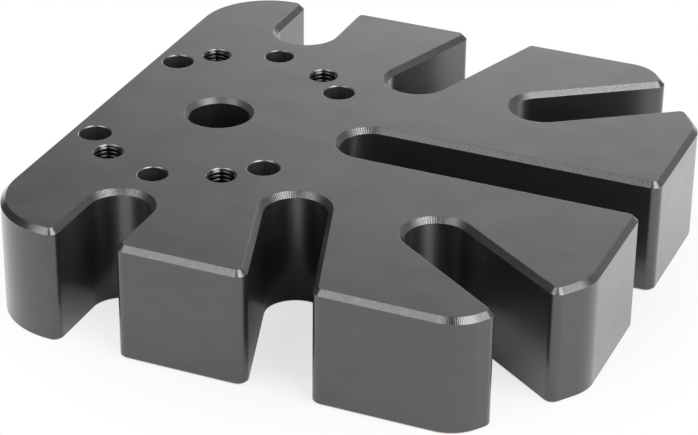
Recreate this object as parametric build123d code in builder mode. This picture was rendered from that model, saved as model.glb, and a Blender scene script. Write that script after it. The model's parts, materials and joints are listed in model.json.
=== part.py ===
"""Five-axis base plate.

One thick steel plate, machined from solid. The vise side carries a centring bore with its bolt,
dowel and tapped holes. The other sides are cut into eight fingers by seven open slots, which take
the clamping bolts of a machine table.

Millimetres. The origin is on the axis of the centring bore, in the underside. +X runs along the
front slot, +Z is up, and the plate is symmetric about the XZ plane.
"""
import os
from math import cos, radians, sin

from build123d import *

os.makedirs("parts", exist_ok=True)

# Plate outline
plate_width = 235.0
plate_thickness = 48.7
rear_reach = 49.3
front_reach = 185.0
rear_corner_radius = 32.6
cut_corner_radius = 17.3
top_chamfer = 2.15
bottom_chamfer = 0.9

# Open slots, each given by the centre of its round end and the way that it runs out
slot_width = 25.0
slot_mouth_radius = 4.1
side_slot_y = 88.9
splayed_slot_x = 62.8
splayed_slot_y = 63.1
splayed_slot_angle = 18.0
corner_slot_x = 120.0
corner_slot_y = 60.0
corner_slot_angle = 35.0
corner_slot_length = 58.15
front_slot_x = 67.8

# Centring bore
bore_diameter = 25.0
bore_chamfer = 2.0

# Plain holes for M12 bolts
bolt_hole_diameter = 13.0
bolt_hole_spacing = 75.0
bolt_hole_chamfer = 0.4

# Dowel holes, in line with the bore across the plate
dowel_hole_diameter = 12.0
dowel_hole_spacing = 120.0
dowel_hole_chamfer = 0.35

# Tapped holes, drilled for M12 and countersunk to just over the thread
tap_drill_diameter = 10.2
tapped_hole_spacing_x = 50.0
tapped_hole_spacing_y = 100.0
tapped_hole_countersink_diameter = 12.6
underside_hole_chamfer = 0.4

# Each front corner is cut off square to the slot that opens through it
half_width = plate_width / 2
cut_normal = Vector(cos(radians(corner_slot_angle)), sin(radians(corner_slot_angle)))
cut_distance = Vector(corner_slot_x, corner_slot_y).dot(cut_normal) + corner_slot_length
cut_side_x = (cut_distance - half_width * cut_normal.Y) / cut_normal.X
cut_front_y = (cut_distance - front_reach * cut_normal.X) / cut_normal.Y

# Slots as (end centre x, end centre y, heading in degrees from +X)
slots = [
    (front_slot_x, 0, 0),
    (corner_slot_x, corner_slot_y, corner_slot_angle),
    (corner_slot_x, -corner_slot_y, -corner_slot_angle),
    (splayed_slot_x, splayed_slot_y, 90 - splayed_slot_angle),
    (splayed_slot_x, -splayed_slot_y, splayed_slot_angle - 90),
    (0, side_slot_y, 90),
    (0, -side_slot_y, -90),
]
slot_overrun = plate_width + front_reach
right_angle = 90

with BuildPart() as base_plate:
    # The blank, with its rounded rear corners and cut front corners
    with BuildSketch():
        with BuildLine():
            FilletPolyline(
                (-rear_reach, -half_width),
                (cut_side_x, -half_width),
                (front_reach, -cut_front_y),
                (front_reach, cut_front_y),
                (cut_side_x, half_width),
                (-rear_reach, half_width),
                radius=[rear_corner_radius, *[cut_corner_radius] * 4, rear_corner_radius],
                close=True,
            )
        make_face()
    extrude(amount=plate_thickness)

    # The slots, each with its mouth rounded off where it leaves the plate
    for end_x, end_y, heading in slots:
        with BuildSketch():
            with Locations(Location((end_x, end_y, 0), (0, 0, heading))):
                Circle(slot_width / 2)
                Rectangle(slot_overrun, slot_width, align=(Align.MIN, Align.CENTER))
        extrude(amount=plate_thickness, mode=Mode.SUBTRACT)
        way_out = Axis((end_x, end_y, 0), (cos(radians(heading)), sin(radians(heading)), 0))
        slot_walls = base_plate.edges(Select.LAST).filter_by(Axis.Z)
        fillet(slot_walls.sort_by(way_out)[-2:], slot_mouth_radius)

    # The edge breaks of the outline, wide on top and narrow below
    chamfer(base_plate.faces().sort_by(Axis.Z)[-1].edges(), top_chamfer)
    chamfer(base_plate.faces().sort_by(Axis.Z)[0].edges(), bottom_chamfer)

    # The holes, all drilled through from the top
    with Locations((0, 0, plate_thickness)):
        CounterSinkHole(
            bore_diameter / 2,
            bore_diameter / 2 + bore_chamfer,
            counter_sink_angle=right_angle,
        )
        with GridLocations(bolt_hole_spacing, bolt_hole_spacing, 2, 2):
            CounterSinkHole(
                bolt_hole_diameter / 2,
                bolt_hole_diameter / 2 + bolt_hole_chamfer,
                counter_sink_angle=right_angle,
            )
        with GridLocations(0, dowel_hole_spacing, 1, 2):
            CounterSinkHole(
                dowel_hole_diameter / 2,
                dowel_hole_diameter / 2 + dowel_hole_chamfer,
                counter_sink_angle=right_angle,
            )
        with GridLocations(tapped_hole_spacing_x, tapped_hole_spacing_y, 2, 2):
            CounterSinkHole(
                tap_drill_diameter / 2,
                tapped_hole_countersink_diameter / 2,
                counter_sink_angle=right_angle,
            )
    chamfer(base_plate.faces().sort_by(Axis.Z)[0].inner_wires().edges(), underside_hole_chamfer)

base_plate.part.label = "base_plate"
export_step(base_plate.part, "parts/base_plate.step")
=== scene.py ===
"""Looks of the five-axis base plate: blackened steel, ground on its faces, milled on its walls.

Metres, in the row frame: the origin is on the axis of the centring bore, in the underside, +X runs
along the front slot and +Z is up.
"""

import json
import math

import bpy
from mathutils import Matrix, Vector
from mathutils.geometry import delaunay_2d_cdt


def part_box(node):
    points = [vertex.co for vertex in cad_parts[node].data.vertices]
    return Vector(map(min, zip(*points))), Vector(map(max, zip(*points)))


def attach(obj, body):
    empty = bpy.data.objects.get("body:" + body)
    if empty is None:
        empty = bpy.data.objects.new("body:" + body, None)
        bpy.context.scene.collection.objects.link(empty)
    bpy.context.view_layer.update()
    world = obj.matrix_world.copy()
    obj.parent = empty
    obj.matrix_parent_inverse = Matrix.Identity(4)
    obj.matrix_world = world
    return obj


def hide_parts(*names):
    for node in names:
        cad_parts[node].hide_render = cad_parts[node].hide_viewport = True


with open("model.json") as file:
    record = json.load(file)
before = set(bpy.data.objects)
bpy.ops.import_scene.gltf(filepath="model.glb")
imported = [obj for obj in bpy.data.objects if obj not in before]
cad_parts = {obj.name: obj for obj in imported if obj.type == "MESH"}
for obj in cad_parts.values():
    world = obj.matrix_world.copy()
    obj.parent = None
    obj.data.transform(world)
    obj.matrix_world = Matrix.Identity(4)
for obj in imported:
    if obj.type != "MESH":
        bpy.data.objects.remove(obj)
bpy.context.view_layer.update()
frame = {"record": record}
mounts = {mount["name"]: mount for mount in frame["record"]["mounts"]}
mm = 0.001

# Plate outline, with its reach in each direction from the frame
low_corner, high_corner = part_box("base_plate")
rear_x = low_corner.x
front_x = high_corner.x
middle_x = (rear_x + front_x) / 2
half_width = high_corner.y
thickness = high_corner.z
rear_corner_radius = 32.6 * mm
cut_corner_radius = 17.3 * mm
top_chamfer = 2.15 * mm
bottom_chamfer = 0.9 * mm

# Open slots: the centre of each round end is a mount of the frame
slot_radius = 12.5 * mm
slot_mouth_radius = 4.1 * mm
splayed_slot_heading = math.radians(72)
corner_slot_heading = math.radians(35)
corner_slot_length = 58.15 * mm

# Holes
bore_chamfer = 2.0 * mm
bolt_hole_chamfer = 0.4 * mm
dowel_hole_chamfer = 0.35 * mm
underside_hole_chamfer = 0.4 * mm
countersink_radius = 6.3 * mm

# M12 thread, which fades over its runout. Half the flat at its crest and half the one at its root are
# shares of the pitch. The hole's rim is worn down to this depth
thread_pitch = 1.75 * mm
thread_depth = 0.947 * mm
thread_length = 26.0 * mm
thread_end = thickness - thread_length
thread_runout = 2.5 * mm
crest_half = 0.125
root_half = 0.0625
worn_rim = 0.45 * mm

# How finely the mesh follows round forms
edge_radius = 0.16 * mm
edge_step = math.radians(23)
corner_step = math.radians(3)
hole_step = math.radians(6)
rows_per_pitch = 14

# The thread's slope is taken over this height both ways, which softens its crests in the light
crest_blunting = 0.16 * mm

# Points closer than this are one
merge_distance = mm / 10000

# A path that bends by less than this sine runs straight, and a wall's normals lean by less than this
straight_bend = 0.001
upright_lean = 0.1

# The studio: how far off the lamps stand, how grey the room is, and the glow on its back wall, with
# its place in degrees
studio_reach = 1.6
room_level = 0.1
glow_level = 3.8
glow_azimuth = 107
glow_elevation = 9
glow_focus = 28

# The floor. Close to the plate the camera sees only this share of plain white, so that the shadow
# shows. The share grows to all of it where the shadow ends
floor_size = 12.0
floor_gap = 0.2 * mm
white_at_plate = 0.7
shadow_full = 0.85 * half_width
shadow_end = 1.4 * half_width

# The photograph's camera: lens and sensor in millimetres, and turns in degrees, one after the other
camera_lens = 130.497
camera_sensor = 36.0
camera_place = (0.411464, -0.841584, 0.508383)
camera_turns = ((22.7513, "Z"), (61.4789, "X"), (0.6613, "Z"))
nearest_seen = 0.05

white = (1, 1, 1, 1)

# The finishes, in the order of the plate's material slots
GROUND, MILLED, CHAMFERED, CONTOURED, CHATTERED, BORED, REAMED, TURNED, THREADED, DEBURRED = range(10)


def left_of(way):
    return Vector((-way.y, way.x))


def heading(angle):
    return Vector((math.cos(angle), math.sin(angle)))


def direction(azimuth, elevation):
    """The unit vector at these degrees. Azimuth 0 is +X, 90 is +Y."""
    flat = heading(math.radians(azimuth)) * math.cos(math.radians(elevation))
    return Vector((*flat, math.sin(math.radians(elevation))))


def placed(name, data):
    """A new object of the scene, which shows this data."""
    made = bpy.data.objects.new(name, data)
    bpy.context.scene.collection.objects.link(made)
    return made


def rounded(corners, step, closed=True):
    """The path through the corners, each (point, radius), with its arcs in steps of at most that angle.

    Returns (point, normal) pairs. The normals point to the right of the way that the path runs.
    An open path leaves out its two end corners, which only say where it comes from and goes to.
    """
    path = []
    count = len(corners)
    for index in range(count) if closed else range(1, count - 1):
        point, radius = corners[index]
        way_in = (point - corners[index - 1][0]).normalized()
        way_out = (corners[(index + 1) % count][0] - point).normalized()
        turn = math.atan2(way_in.x * way_out.y - way_in.y * way_out.x, way_in.dot(way_out))
        side = math.copysign(radius, turn)
        centre = point - way_in * radius * math.tan(abs(turn) / 2) + left_of(way_in) * side
        parts = max(2, math.ceil(abs(turn) / step))
        start = math.atan2(way_in.y, way_in.x)
        for part in range(parts + 1):
            left = left_of(heading(start + turn * part / parts))
            path.append((centre - left * side, -left))
    return path


def slot_corners(mount, angle, edge_normal, edge_distance):
    """The four corners of a slot that runs out through a straight edge, in the order of the outline."""
    centre = Vector(mounts[mount]["pos_m"][:2])
    way_out = heading(angle)
    corners = []
    for side in (-slot_radius, slot_radius):
        on_side = centre + left_of(way_out) * side
        to_edge = (edge_distance - on_side.dot(edge_normal)) / way_out.dot(edge_normal)
        mouth = (on_side + way_out * to_edge, slot_mouth_radius)
        end = (on_side - way_out * slot_radius, slot_radius)
        corners += [mouth, end] if side < 0 else [end, mouth]
    return corners


def outline_corners():
    """The corners of the plate with all its slots, anticlockwise from the right rear corner."""
    ahead = Vector((1, 0))
    right = Vector((0, -1))
    right_cut = heading(-corner_slot_heading)
    left_cut = heading(corner_slot_heading)
    cut_distance = Vector(mounts["corner_slot_left"]["pos_m"][:2]).dot(left_cut) + corner_slot_length
    cut_side_x = (cut_distance - half_width * left_cut.y) / left_cut.x
    cut_front_y = (cut_distance - front_x * left_cut.x) / left_cut.y
    return [
        (Vector((rear_x, -half_width)), rear_corner_radius),
        *slot_corners("side_slot_right", -math.pi / 2, right, half_width),
        *slot_corners("splayed_slot_right", -splayed_slot_heading, right, half_width),
        (Vector((cut_side_x, -half_width)), cut_corner_radius),
        *slot_corners("corner_slot_right", -corner_slot_heading, right_cut, cut_distance),
        (Vector((front_x, -cut_front_y)), cut_corner_radius),
        *slot_corners("front_slot", 0, ahead, front_x),
        (Vector((front_x, cut_front_y)), cut_corner_radius),
        *slot_corners("corner_slot_left", corner_slot_heading, left_cut, cut_distance),
        (Vector((cut_side_x, half_width)), cut_corner_radius),
        *slot_corners("splayed_slot_left", splayed_slot_heading, -right, half_width),
        *slot_corners("side_slot_left", math.pi / 2, -right, half_width),
        (Vector((rear_x, half_width)), rear_corner_radius),
    ]


def hole_path(centre, radius):
    """A hole's rim, clockwise, so that its normals point into the hole."""
    parts = round(math.tau / hole_step)
    spokes = [heading(-math.tau * part / parts) for part in range(parts)]
    return [(centre + spoke * radius, -spoke) for spoke in spokes]


def edge_profile(*corners):
    """An edge break with its own edges rounded, as ((offset, height), normal) pairs of a profile."""
    return rounded([(Vector(corner), edge_radius) for corner in corners], edge_step, closed=False)


def lower_edge(inset):
    """The underside's edge break, going up. It comes from the flat of the underside."""
    return edge_profile((-half_width, 0), (-inset, 0), (0, inset), (0, thickness / 2))


def upper_edge(inset):
    """The top's edge break, going up. It goes on to the flat of the top."""
    top = thickness
    return edge_profile((0, top / 2), (0, top - inset), (-inset, top), (-half_width, top))


class Shell:
    """Faces with a normal and a map place at each corner, on vertices shared where they meet."""

    def __init__(self):
        self.index = {}
        self.points = []
        self.faces = []
        self.normals = []
        self.places = []
        self.finishes = []

    def vertex(self, point):
        key = tuple(round(value / merge_distance) for value in point)
        if key not in self.index:
            self.index[key] = len(self.points)
            self.points.append(tuple(point))
        return self.index[key]

    def face(self, corners, finish):
        """Adds a face from (point, normal, place) corners, without those that fall on each other."""
        kept = {}
        for point, normal, place in corners:
            kept.setdefault(self.vertex(point), (normal, place))
        if len(kept) < 3:
            return
        self.faces.append(list(kept))
        self.normals += [tuple(normal) for normal, _ in kept.values()]
        self.places += [tuple(place) for _, place in kept.values()]
        self.finishes.append(finish)

    def mesh(self, name):
        mesh = bpy.data.meshes.new(name)
        mesh.from_pydata(self.points, [], self.faces)
        layer = mesh.uv_layers.new(name="SurfacePath")
        for loop, place in zip(layer.data, self.places):
            loop.uv = place
        mesh.polygons.foreach_set("material_index", self.finishes)
        mesh.shade_smooth()
        mesh.normals_split_custom_set(self.normals)
        mesh.validate()
        return mesh


def sweep(shell, path, profile, finishes):
    """Carries the profile round the closed path. The map runs along the path and up the profile.

    The finishes are the wall's and those of an edge break: straight, round a corner and in a slot.
    Returns the rings of points at the foot and at the top of the profile.
    """
    lengths = [0.0]
    for index, (point, _) in enumerate(path):
        lengths.append(lengths[-1] + (path[(index + 1) % len(path)][0] - point).length)
    heights = [0.0]
    for (lower, _), (upper, _) in zip(profile, profile[1:]):
        heights.append(heights[-1] + (upper - lower).length)

    def corner(index, row):
        point, outward = path[index % len(path)]
        (offset, height), (sideways, up) = profile[row]
        return (
            (*(point + outward * offset), height),
            (*(outward * sideways), up),
            (lengths[index], heights[row]),
        )

    def bend(index):
        """The sine of the path's bend at this step. It is negative round a slot's end."""
        return path[index % len(path)][1].cross(path[(index + 1) % len(path)][1])

    wall, straight_edge, corner_edge, slot_edge = finishes
    for index in range(len(path)):
        edge = straight_edge if abs(bend(index)) < straight_bend else corner_edge
        # A slot's straight side is a single step, next to those of its round end
        if min(bend(index - 1), bend(index), bend(index + 1)) < -straight_bend:
            edge = slot_edge
        for row in range(len(profile) - 1):
            upright = max(abs(normal.y) for _, normal in profile[row:row + 2]) < upright_lean
            places = [(index, row), (index + 1, row), (index + 1, row + 1), (index, row + 1)]
            shell.face([corner(*place) for place in places], wall if upright else edge)
    return [
        [(*(point + outward * end[0].x), end[0].y) for point, outward in path]
        for end in (profile[0], profile[-1])
    ]


def thread_radius(drill_radius, height, phase):
    """How far the tapped wall lies from the hole's axis at this height and share of a turn."""
    along = abs((height / thread_pitch - phase) % 1 - 0.5)
    flank = (0.5 - crest_half - along) / (0.5 - crest_half - root_half)
    above_end = (height - thread_end) / thread_runout
    depth = thread_depth * min(max(flank, 0), 1) * min(max(above_end, 0), 1)
    countersink = countersink_radius - (thickness - height)
    return max(drill_radius + depth, countersink)


def tap(shell, centre, drill_radius):
    """The thread of one hole: rows that climb with it, cut off at the top and at the thread's end."""
    path = hole_path(Vector((0, 0)), 1)
    turns = math.ceil(thread_length / thread_pitch) + 1
    breaks = [-0.5, -0.5 + root_half, -crest_half, crest_half, 0.5 - root_half, 0.5]
    shares = []
    for start, end in zip(breaks, breaks[1:]):
        parts = max(1, round((end - start) * rows_per_pitch))
        shares += [start + (end - start) * part / parts for part in range(parts)]
    rows = [turn + share for turn in range(-turns, 2) for share in shares]

    def corner(index, row):
        climb = -index / len(path)
        height = thickness + (rows[row] + climb) * thread_pitch
        height = min(max(height, thread_end), thickness)
        levels = (height - crest_blunting, height, height + crest_blunting)
        phase = (thickness / thread_pitch + climb) % 1
        below, radius, above = [thread_radius(drill_radius, level, phase) for level in levels]
        inward = path[index % len(path)][1]
        normal = Vector((*inward, (above - below) / (2 * crest_blunting))).normalized()
        along = index / len(path) * math.tau * radius
        return (*(centre - inward * radius), height), normal, (along, height)

    for row in range(len(rows) - 1):
        for index in range(len(path)):
            places = [(index, row), (index + 1, row), (index + 1, row + 1), (index, row + 1)]
            corners = [corner(*place) for place in places]
            at_rim = corners[0][0][2] > thickness - worn_rim
            shell.face(corners, DEBURRED if at_rim else THREADED)


def cap(shell, rings, upward):
    """The flat face between the outline's ring and the rings of the holes."""
    points = [Vector(point[:2]) for ring in rings for point in ring]
    height = rings[0][0][2]
    loops = []
    first = 0
    for ring in rings:
        loops.append(range(first, first + len(ring)))
        first += len(ring)
    inside_with_holes = 2
    found, _, triangles, *_ = delaunay_2d_cdt(points, [], loops, inside_with_holes, merge_distance)
    normal = (0, 0, 1 if upward else -1)
    for triangle in triangles:
        order = triangle if upward else reversed(triangle)
        shell.face([((*found[index], height), normal, found[index]) for index in order], GROUND)


def pattern(mount):
    """The hole centres of a bolt pattern of the frame."""
    dims = mounts[mount]["dims"]
    x_spacing = dims.get("spacing_x_mm", 0) * mm
    y_spacing = dims.get("spacing_y_mm", 0) * mm
    x_sides = (-0.5, 0.5) if x_spacing else (0,)
    y_sides = (-0.5, 0.5) if y_spacing else (0,)
    return [Vector((x_spacing * x_side, y_spacing * y_side)) for x_side in x_sides for y_side in y_sides]


def machined_plate():
    """The whole plate as one closed mesh."""
    shell = Shell()
    outline = rounded(outline_corners(), corner_step)
    plate_profile = lower_edge(bottom_chamfer) + upper_edge(top_chamfer)
    rings = [sweep(shell, outline, plate_profile, (MILLED, CHAMFERED, CONTOURED, CHATTERED))]

    bore_radius = mounts["centring_bore"]["dims"]["r_mm"] * mm
    holes = [(Vector((0, 0)), bore_radius, bore_chamfer, BORED, TURNED)]
    for mount, chamfer in (("bolt_holes", bolt_hole_chamfer), ("dowel_holes", dowel_hole_chamfer)):
        radius = mounts[mount]["dims"]["hole_r_mm"] * mm
        holes += [(centre, radius, chamfer, REAMED, DEBURRED) for centre in pattern(mount)]
    for centre, radius, chamfer, wall, rim in holes:
        profile = lower_edge(underside_hole_chamfer) + upper_edge(chamfer)
        rings.append(sweep(shell, hole_path(centre, radius), profile, (wall, rim, rim, rim)))

    drill_radius = mounts["tapped_holes"]["dims"]["hole_r_mm"] * mm
    drilled_profile = [*lower_edge(underside_hole_chamfer), (Vector((0, thread_end)), Vector((1, 0)))]
    for centre in pattern("tapped_holes"):
        path = hole_path(centre, drill_radius)
        lower, _ = sweep(shell, path, drilled_profile, (BORED,) * 4)
        tap(shell, centre, drill_radius)
        upper = [(*(centre - inward * countersink_radius), thickness) for _, inward in path]
        rings.append([lower, upper])

    cap(shell, [lower for lower, _ in rings], upward=False)
    cap(shell, [upper for _, upper in rings], upward=True)
    return placed("machined_plate", shell.mesh("machined_plate"))


class Nodes:
    """A node tree that is made and wired one call at a time."""

    def __init__(self, tree):
        self.tree = tree

    def put(self, value, socket):
        """Wires the socket to an output, or sets it to a plain value."""
        if isinstance(value, bpy.types.NodeSocket):
            self.tree.links.new(value, socket)
        else:
            socket.default_value = value

    def node(self, kind, *values, **settings):
        """A node whose first inputs in use take these values, with None for one that stays as it is.

        Returns its first output in use.
        """
        made = self.tree.nodes.new(kind)
        for name, value in settings.items():
            setattr(made, name, value)
        for socket, value in zip([socket for socket in made.inputs if socket.enabled], values):
            if value is not None:
                self.put(value, socket)
        return next(output for output in made.outputs if output.enabled)

    def output(self, kind, name):
        """The named output of a new node."""
        return self.tree.nodes.new(kind).outputs[name]

    def combined(self, operation, first, second):
        return self.node("ShaderNodeMath", first, second, operation=operation)

    def times(self, first, second):
        return self.combined("MULTIPLY", first, second)

    def plus(self, first, second):
        return self.combined("ADD", first, second)

    def ranged(self, value, low, high, start=0.3, end=0.7):
        """The value from start to end, spread from low to high. A noise mostly lies from 0.3 to 0.7."""
        return self.node("ShaderNodeMapRange", value, start, end, low, high)


class Finish(Nodes):
    """A material, with the textures that the finishes of the steel share."""

    def __init__(self, name):
        self.material = bpy.data.materials.new(name)
        self.material.use_nodes = True
        super().__init__(self.material.node_tree)
        self.shader = self.tree.nodes["Principled BSDF"]

    def set(self, **inputs):
        """Sets or wires the shader's inputs, named with underscores for spaces."""
        for name, value in inputs.items():
            self.put(value, self.shader.inputs[name.replace("_", " ")])

    def surface_path(self, along, up):
        """The map's place, in cells of this size along the path and up the profile."""
        place = self.node("ShaderNodeUVMap", uv_map="SurfacePath")
        return self.node("ShaderNodeMapping", place, None, None, (1 / along, 1 / up, 1))

    def space(self, x_size, y_size, z_size):
        """The place in the object's own space, in cells of this size."""
        place = self.output("ShaderNodeTexCoord", "Object")
        return self.node("ShaderNodeMapping", place, None, None, (1 / x_size, 1 / y_size, 1 / z_size))

    def noise(self, place, coarse_weight=2.0, coarse_pace=0.5):
        """Noise in two layers: one that changes from cell to cell, and a coarser one.

        The coarser one weighs so many times as much, and changes at this share of the pace.
        """
        scale = 1.0
        layers_added = 1.0
        return self.node("ShaderNodeTexNoise", place, scale, layers_added, coarse_weight, coarse_pace)

    def grain(self, size, coarse_weight=2.0, coarse_pace=0.5):
        """The same noise, in cells of this size in all directions."""
        return self.noise(self.space(size, size, size), coarse_weight, coarse_pace)

    def cutter_steps(self, pitch):
        """Waves of this length along the path, unevenly spaced, and straight across an edge break."""
        cell_height = 12 * mm
        one_wave_to_a_cell = math.tau / 20
        distortion = 1.5
        detail = 2.0
        detail_scale = 1.5
        place = self.surface_path(pitch, cell_height)
        return self.node("ShaderNodeTexWave", place, one_wave_to_a_cell, distortion, detail, detail_scale)

    def bump(self, height, strength, depth):
        made = self.tree.nodes.new("ShaderNodeBump")
        for name, value in (("Height", height), ("Strength", strength), ("Distance", depth)):
            self.put(value, made.inputs[name])
        return made.outputs["Normal"]

    def blackened(self):
        """Oiled black oxide: dark metal under a thin film."""
        self.set(Metallic=0.85, Coat_Weight=1.0, Coat_Roughness=0.22, Coat_IOR=1.5)
        return self.material


def ground_finish():
    """The top and the underside, surface-ground along the plate, and duller at a low angle."""
    finish = Finish("ground_steel")
    clouds = finish.noise(finish.space(9 * mm, 6 * mm, 9 * mm), 3.0)
    lines = finish.noise(finish.space(1.8 * mm, 0.044 * mm, 1.8 * mm))
    grain = finish.grain(0.07 * mm)
    finish.set(
        Base_Color=finish.times(finish.ranged(clouds, 0.162, 0.176), finish.ranged(grain, 0.98, 1.02)),
        Metallic=0.85,
        Roughness=finish.plus(finish.ranged(clouds, 0.17, 0.21), finish.ranged(lines, -0.02, 0.02)),
        Specular_Tint=(0.6, 0.6, 0.6, 1),
        Normal=finish.bump(finish.plus(lines, grain), 0.04, 0.05 * mm),
    )
    return finish.material


def milled_finish():
    """The side walls, on which the end mill left fine upright feed marks."""
    finish = Finish("milled_steel")
    clouds = finish.noise(finish.space(6 * mm, 6 * mm, 3.6 * mm), 3.0)
    feed = finish.noise(finish.surface_path(0.09 * mm, 6 * mm))
    grain = finish.grain(0.08 * mm)
    finish.set(
        Base_Color=finish.times(finish.ranged(clouds, 0.074, 0.080), finish.ranged(grain, 0.97, 1.03)),
        Roughness=finish.plus(finish.ranged(clouds, 0.29, 0.33), finish.ranged(feed, -0.02, 0.02)),
        Normal=finish.bump(feed, 0.1, 0.05 * mm),
    )
    return finish.blackened()


def chamfer_finish():
    """The straight edge breaks, with a bright grain and faint marks straight across them."""
    finish = Finish("chamfered_steel")
    clouds = finish.grain(1.2 * mm)
    marks = finish.noise(finish.surface_path(0.18 * mm, 1.6 * mm), 3.0, 0.6)
    grain = finish.grain(0.11 * mm, 3.0, 0.6)
    level = finish.times(finish.ranged(marks, 0.1, 0.118), finish.ranged(grain, 0.55, 1.5))
    finish.set(
        Base_Color=finish.times(level, finish.ranged(clouds, 0.9, 1.08)),
        Roughness=finish.ranged(grain, 0.24, 0.32),
        Normal=finish.bump(finish.plus(marks, grain), 0.3, 0.05 * mm),
    )
    return finish.blackened()


def contour_finish_with_painted_stripes():
    """The edge breaks round the corners and slot mouths, with the cutter's steps bumped and painted as
    highlight and shade.
    """
    finish = Finish("contoured_steel_painted_stripes")
    steps = finish.cutter_steps(0.75 * mm)
    grain = finish.grain(0.1 * mm)
    finish.set(
        # The colour follows the steps: painted highlight and shade stripes, on top of the real bump below
        Base_Color=finish.times(finish.ranged(steps, 0.068, 0.148, 0, 1), finish.ranged(grain, 0.88, 1.12)),
        Roughness=finish.ranged(grain, 0.14, 0.18),
        Normal=finish.bump(steps, 1.0, 0.016 * mm),
    )
    return finish.blackened()


def chatter_finish_with_painted_stripes():
    """The slots' edge breaks, where the cutter chattered and left uneven steps, bumped and painted as
    highlight and shade.
    """
    finish = Finish("chattered_steel_painted_stripes")
    steps = finish.cutter_steps(0.85 * mm)
    grain = finish.grain(0.22 * mm, 3.0, 0.6)
    finish.set(
        # The colour follows the steps: painted highlight and shade stripes, on top of the real bump below
        Base_Color=finish.times(finish.ranged(steps, 0.072, 0.142, 0, 1), finish.ranged(grain, 0.65, 1.35)),
        Roughness=finish.ranged(grain, 0.18, 0.26),
        Normal=finish.bump(finish.plus(steps, grain), 1.0, 0.046 * mm),
    )
    return finish.blackened()


def bored_finish():
    """The bore and the drilled holes, with the fine rings of the cutting edge."""
    finish = Finish("bored_steel")
    rings = finish.noise(finish.surface_path(2.4 * mm, 0.05 * mm))
    grain = finish.grain(0.08 * mm)
    finish.set(
        Base_Color=finish.times(finish.ranged(rings, 0.068, 0.086), finish.ranged(grain, 0.95, 1.05)),
        Roughness=finish.ranged(rings, 0.26, 0.32),
        Normal=finish.bump(rings, 0.15, 0.05 * mm),
    )
    return finish.blackened()


def reamed_finish():
    """The plain holes for bolts and dowels, duller, with faint upright streaks."""
    finish = Finish("reamed_steel")
    streaks = finish.noise(finish.surface_path(0.24 * mm, 6 * mm), 3.0)
    grain = finish.grain(0.08 * mm)
    finish.set(
        Base_Color=finish.times(finish.ranged(streaks, 0.07, 0.16), finish.ranged(grain, 0.95, 1.05)),
        Metallic=0.8,
        Roughness=finish.ranged(streaks, 0.3, 0.4),
        Coat_Weight=0.5,
        Coat_Roughness=0.22,
        Coat_IOR=1.5,
        Normal=finish.bump(streaks, 0.15, 0.05 * mm),
    )
    return finish.material


def turned_finish():
    """The bore's rim, turned rather than milled, and duller."""
    finish = Finish("turned_steel")
    rings = finish.noise(finish.surface_path(2.4 * mm, 0.04 * mm))
    grain = finish.grain(0.1 * mm)
    finish.set(
        Base_Color=finish.times(finish.ranged(rings, 0.12, 0.14), finish.ranged(grain, 0.92, 1.08)),
        Roughness=finish.ranged(grain, 0.4, 0.48),
        Normal=finish.bump(rings, 0.15, 0.05 * mm),
    )
    return finish.blackened()


def threaded_finish():
    """The threads, cut smooth, so that only their crests catch the light."""
    finish = Finish("threaded_steel")
    grain = finish.grain(0.1 * mm)
    finish.set(
        Base_Color=finish.ranged(grain, 0.09, 0.13),
        Metallic=1.0,
        Roughness=finish.ranged(grain, 0.12, 0.18),
        Normal=finish.bump(grain, 0.1, 0.05 * mm),
    )
    return finish.material


def deburred_finish():
    """The rims of the small holes, with the oxide worn to a brighter steel."""
    finish = Finish("deburred_steel")
    grain = finish.grain(0.1 * mm)
    finish.set(Base_Color=finish.ranged(grain, 0.2, 0.28), Roughness=finish.ranged(grain, 0.24, 0.32))
    return finish.blackened()


def floor_finish():
    """Pale, and plain white to the camera and to shiny surfaces away from the plate. Clear from below."""
    finish = Finish("pale_floor")
    finish.set(Base_Color=(0.9, 0.9, 0.9, 1), Roughness=0.9, Specular_IOR_Level=0.2)
    rays = finish.tree.nodes.new("ShaderNodeLightPath").outputs
    seen = finish.plus(rays["Is Camera Ray"], rays["Is Glossy Ray"])
    seen = finish.combined("MAXIMUM", seen, rays["Is Transmission Ray"])
    place = finish.output("ShaderNodeTexCoord", "Object")
    distance = finish.node("ShaderNodeVectorMath", place, (middle_x, 0, 0), operation="DISTANCE")
    least = finish.times(rays["Is Camera Ray"], white_at_plate)
    share = finish.ranged(distance, least, 1, shadow_full, shadow_end)
    plain = finish.node("ShaderNodeEmission", white, 1.0)
    pale = finish.node("ShaderNodeMixShader", finish.times(seen, share), finish.shader.outputs[0], plain)
    clear = finish.node("ShaderNodeBsdfTransparent")
    behind = finish.output("ShaderNodeNewGeometry", "Backfacing")
    shown = finish.node("ShaderNodeMixShader", behind, pale, clear)
    finish.put(shown, finish.tree.nodes["Material Output"].inputs["Surface"])
    return finish.material


def floor():
    """The floor, just under the plate, which keeps the plate's soft shadow."""
    reach = floor_size / 2
    corners = [(-reach, -reach), (reach, -reach), (reach, reach), (-reach, reach)]
    mesh = bpy.data.meshes.new("floor")
    mesh.from_pydata([(x, y, -floor_gap) for x, y in corners], [], [range(4)])
    mesh.materials.append(floor_finish())
    made = placed("floor", mesh)


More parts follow.
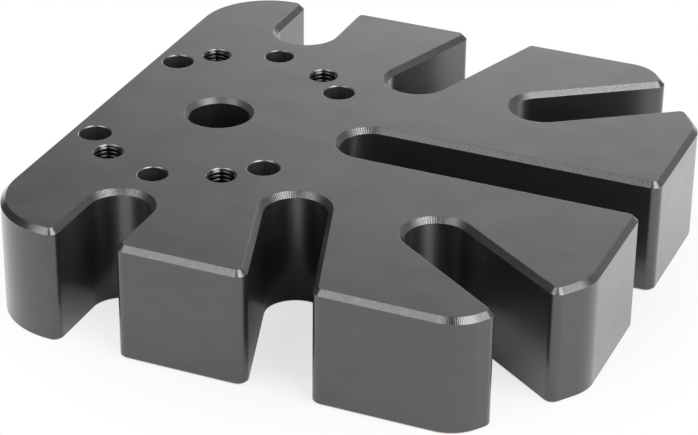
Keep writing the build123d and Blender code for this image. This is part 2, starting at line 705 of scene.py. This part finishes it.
def surroundings():
    """The rest of the studio: a dim grey room with a glow on its back wall. The camera sees it white."""
    world = bpy.data.worlds.new("studio")
    bpy.context.scene.world = world
    world.use_nodes = True
    nodes = Nodes(world.node_tree)
    place = nodes.output("ShaderNodeTexCoord", "Generated")
    glow_centre = direction(glow_azimuth, glow_elevation)
    towards = nodes.node("ShaderNodeVectorMath", place, glow_centre, operation="DOT_PRODUCT")
    glow = nodes.combined("POWER", nodes.combined("MAXIMUM", towards, 0), glow_focus)
    level = nodes.plus(nodes.times(glow, glow_level), room_level)
    seen = nodes.combined("MAXIMUM", level, nodes.output("ShaderNodeLightPath", "Is Camera Ray"))
    background = world.node_tree.nodes["Background"]
    nodes.put(seen, background.inputs["Strength"])
    nodes.put(white, background.inputs["Color"])


def softbox(name, azimuth, spread, low, high, level):
    """An upright lamp at this azimuth that looks this bright.

    Seen from the plate it spans so many degrees across, and those from low to high upwards.
    """
    bottom, top = [studio_reach * math.tan(math.radians(elevation)) for elevation in (low, high)]
    lamp = bpy.data.lights.new(name, "AREA")
    lamp.shape = "RECTANGLE"
    lamp.size = 2 * studio_reach * math.tan(math.radians(spread / 2))
    lamp.size_y = top - bottom
    lamp.energy = level * math.pi * lamp.size * lamp.size_y
    made = placed(name, lamp)
    away = direction(azimuth, 0)
    middle = Vector((middle_x, 0, thickness + (bottom + top) / 2))
    made.location = middle + away * studio_reach
    made.rotation_euler = away.to_track_quat("Z", "Y").to_euler()
    made.visible_camera = False


def camera():
    """The photograph's view, from above the plate's right side and a little to its front."""
    lens = bpy.data.cameras.new("camera")
    lens.lens = camera_lens
    lens.sensor_width = camera_sensor
    lens.clip_start = nearest_seen
    made = placed("camera", lens)
    pose = Matrix.Translation(camera_place)
    for angle, axis in camera_turns:
        pose = pose @ Matrix.Rotation(math.radians(angle), 4, axis)
    made.matrix_world = pose
    bpy.context.scene.camera = made


plate = machined_plate()
for finish in (
    ground_finish,
    milled_finish,
    chamfer_finish,
    contour_finish_with_painted_stripes,
    chatter_finish_with_painted_stripes,
    bored_finish,
    reamed_finish,
    turned_finish,
    threaded_finish,
    deburred_finish,
):
    plate.data.materials.append(finish())
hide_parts("base_plate")
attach(plate, "root")

floor()
surroundings()

# The lamps, named by their side in the photograph: azimuth, spread, low, high and level
softbox("right_softbox", -24, 52, 12, 65, 4.3)
softbox("right_edge", 11, 18, 12, 55, 2.0)
softbox("right_card", -4, 56, 0, 12, 3.6)
softbox("left_softbox", -115.5, 62, 37, 60, 2.3)
softbox("left_card", -129, 52, 0, 37, 1.25)
softbox("back_card", 56, 74, 0, 40, 0.3)
softbox("rear_card", 144, 24, 18, 50, 0.4)
camera()
bpy.context.scene.view_settings.view_transform = "Standard"
